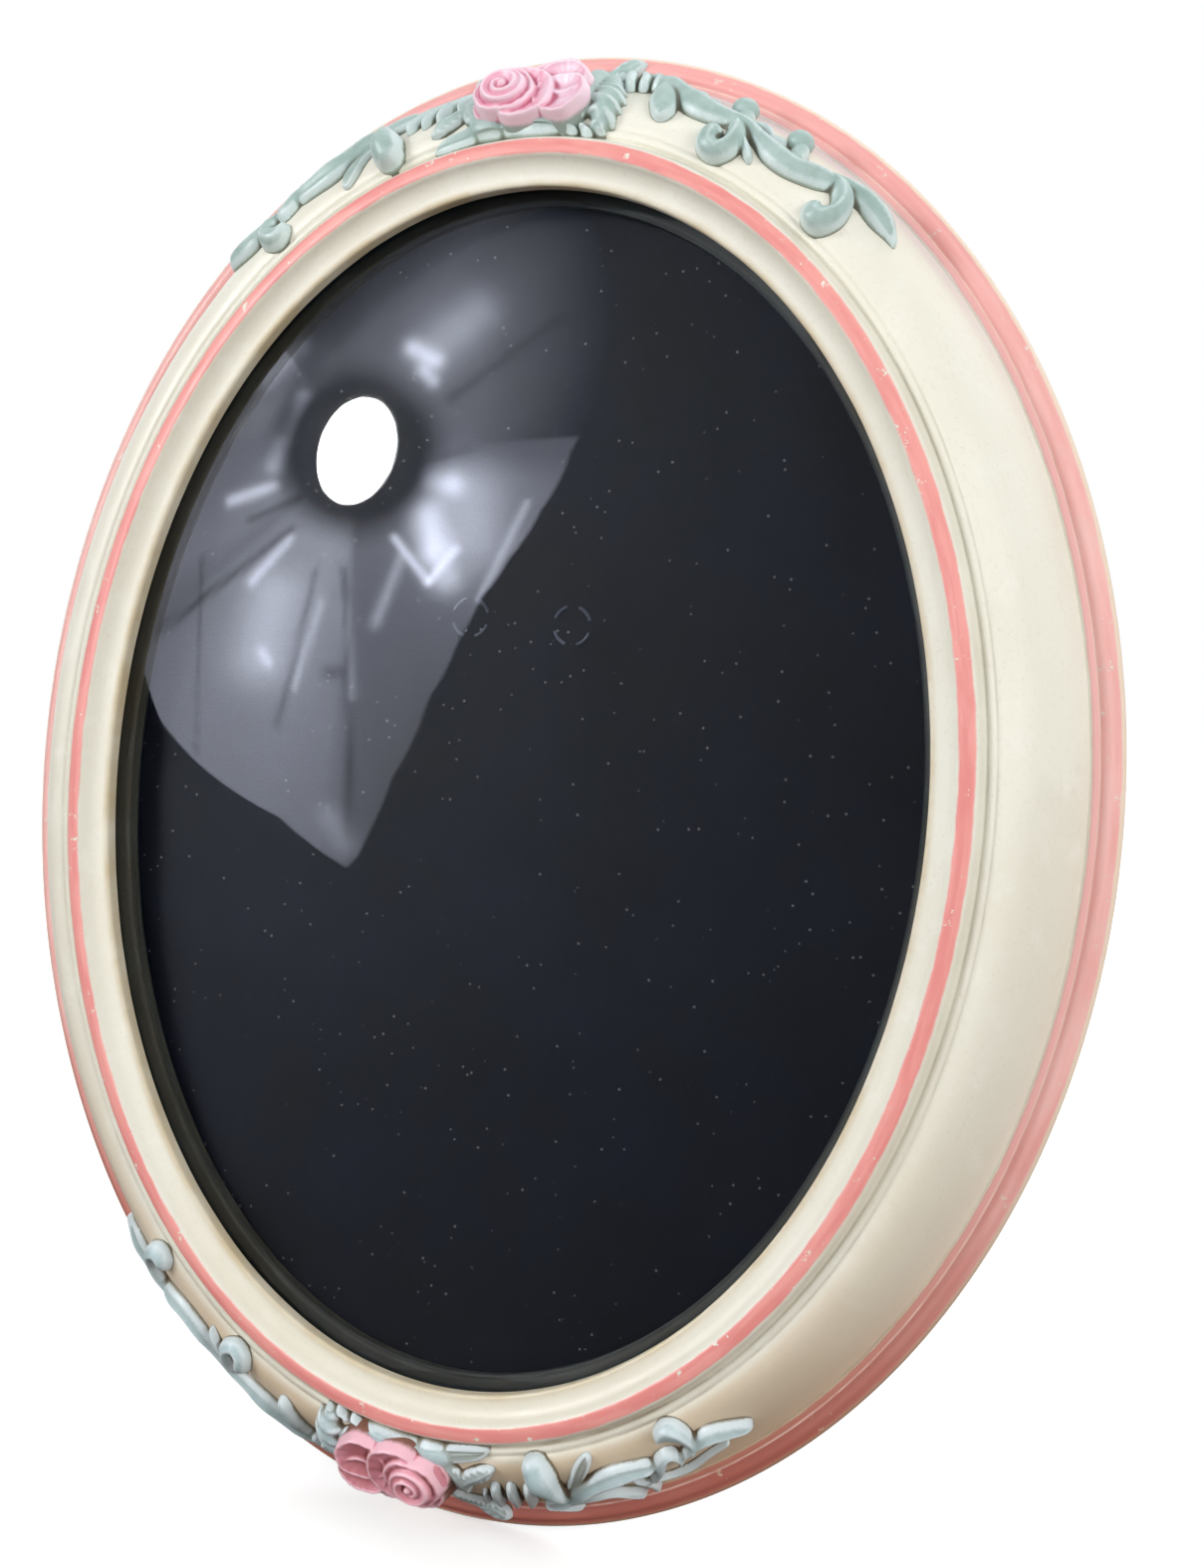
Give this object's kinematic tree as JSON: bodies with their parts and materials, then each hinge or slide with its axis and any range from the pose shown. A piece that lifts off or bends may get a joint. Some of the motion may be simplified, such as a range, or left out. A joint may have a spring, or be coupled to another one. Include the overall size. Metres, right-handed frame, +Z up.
{
  "type": "oval picture frame",
  "caption": "Oval cast picture frame with rose and scroll ornaments and convex glass, standing on a hinged easel strut with turn buttons behind.",
  "frame": {"origin": "on the table, at the middle of the standing frame's footprint", "axes": "+Z up, +Y towards the back where the strut stands, so the glass faces -Y, and +X to the right seen from the front"},
  "size_m": [0.1954, 0.084, 0.2379],
  "materials": {
    "cream_casting": "hand painted cast body, cream with coral pink stripes, satin",
    "sage_casting": "sage grey green, dry brushed pale on the high spots",
    "rose_casting": "rose pink shaded to pale petal edges, satin",
    "clear_glass": "clear polished convex glass",
    "black_card": "black card ring",
    "black_lining": "black fibrous lining paper with lint",
    "hardboard": "brown pressed hardboard",
    "covered_board": "board covered in black paper",
    "plated_steel": "brass plated pressed steel, lightly tarnished"
  },
  "bodies": {
    "frame": {"frame_moulding": "cream_casting", "top_rose_leaves": "sage_casting", "top_right_garland": "sage_casting", "top_left_garland": "sage_casting", "bottom_rose_leaves": "sage_casting", "bottom_left_garland": "sage_casting", "bottom_right_garland": "sage_casting", "top_rose": "rose_casting", "bottom_rose": "rose_casting", "board_rivets": "plated_steel", "hinge_board_leaf": "plated_steel", "hinge_pin": "plated_steel", "turn_button_screws": "plated_steel", "convex_glass": "clear_glass", "spacer_ring": "black_card", "lining_card": "black_lining", "backboard": "hardboard"},
    "strut": {"easel_strut": "covered_board", "hinge_strut_leaf": "plated_steel", "strut_rivets": "plated_steel"},
    "button_upper_right": {"turn_button_upper_right": "plated_steel"},
    "button_upper_left": {"turn_button_upper_left": "plated_steel"},
    "button_lower_left": {"turn_button_lower_left": "plated_steel"},
    "button_lower_right": {"turn_button_lower_right": "plated_steel"}
  },
  "joints": [
    {"name": "strut_swing", "type": "hinge", "parent": "frame", "child": "strut", "pos_m": [0, 0.00968, 0.14093], "axis": [1, 0, 0], "range_deg": [-21, 0]},
    {"name": "button_upper_right_turn", "type": "hinge", "parent": "frame", "child": "button_upper_right", "pos_m": [0.04872, 0.02432, 0.20038], "axis": [0, 0.9627, -0.2706], "range_deg": [-90, 90]},
    {"name": "button_upper_left_turn", "type": "hinge", "parent": "frame", "child": "button_upper_left", "pos_m": [-0.04872, 0.02432, 0.20038], "axis": [0, 0.9627, -0.2706], "range_deg": [-90, 90]},
    {"name": "button_lower_left_turn", "type": "hinge", "parent": "frame", "child": "button_lower_left", "pos_m": [-0.04872, -0.02043, 0.04116], "axis": [0, 0.9627, -0.2706], "range_deg": [-90, 90]},
    {"name": "button_lower_right_turn", "type": "hinge", "parent": "frame", "child": "button_lower_right", "pos_m": [0.04872, -0.02043, 0.04116], "axis": [0, 0.9627, -0.2706], "range_deg": [-90, 90]}
  ]
}
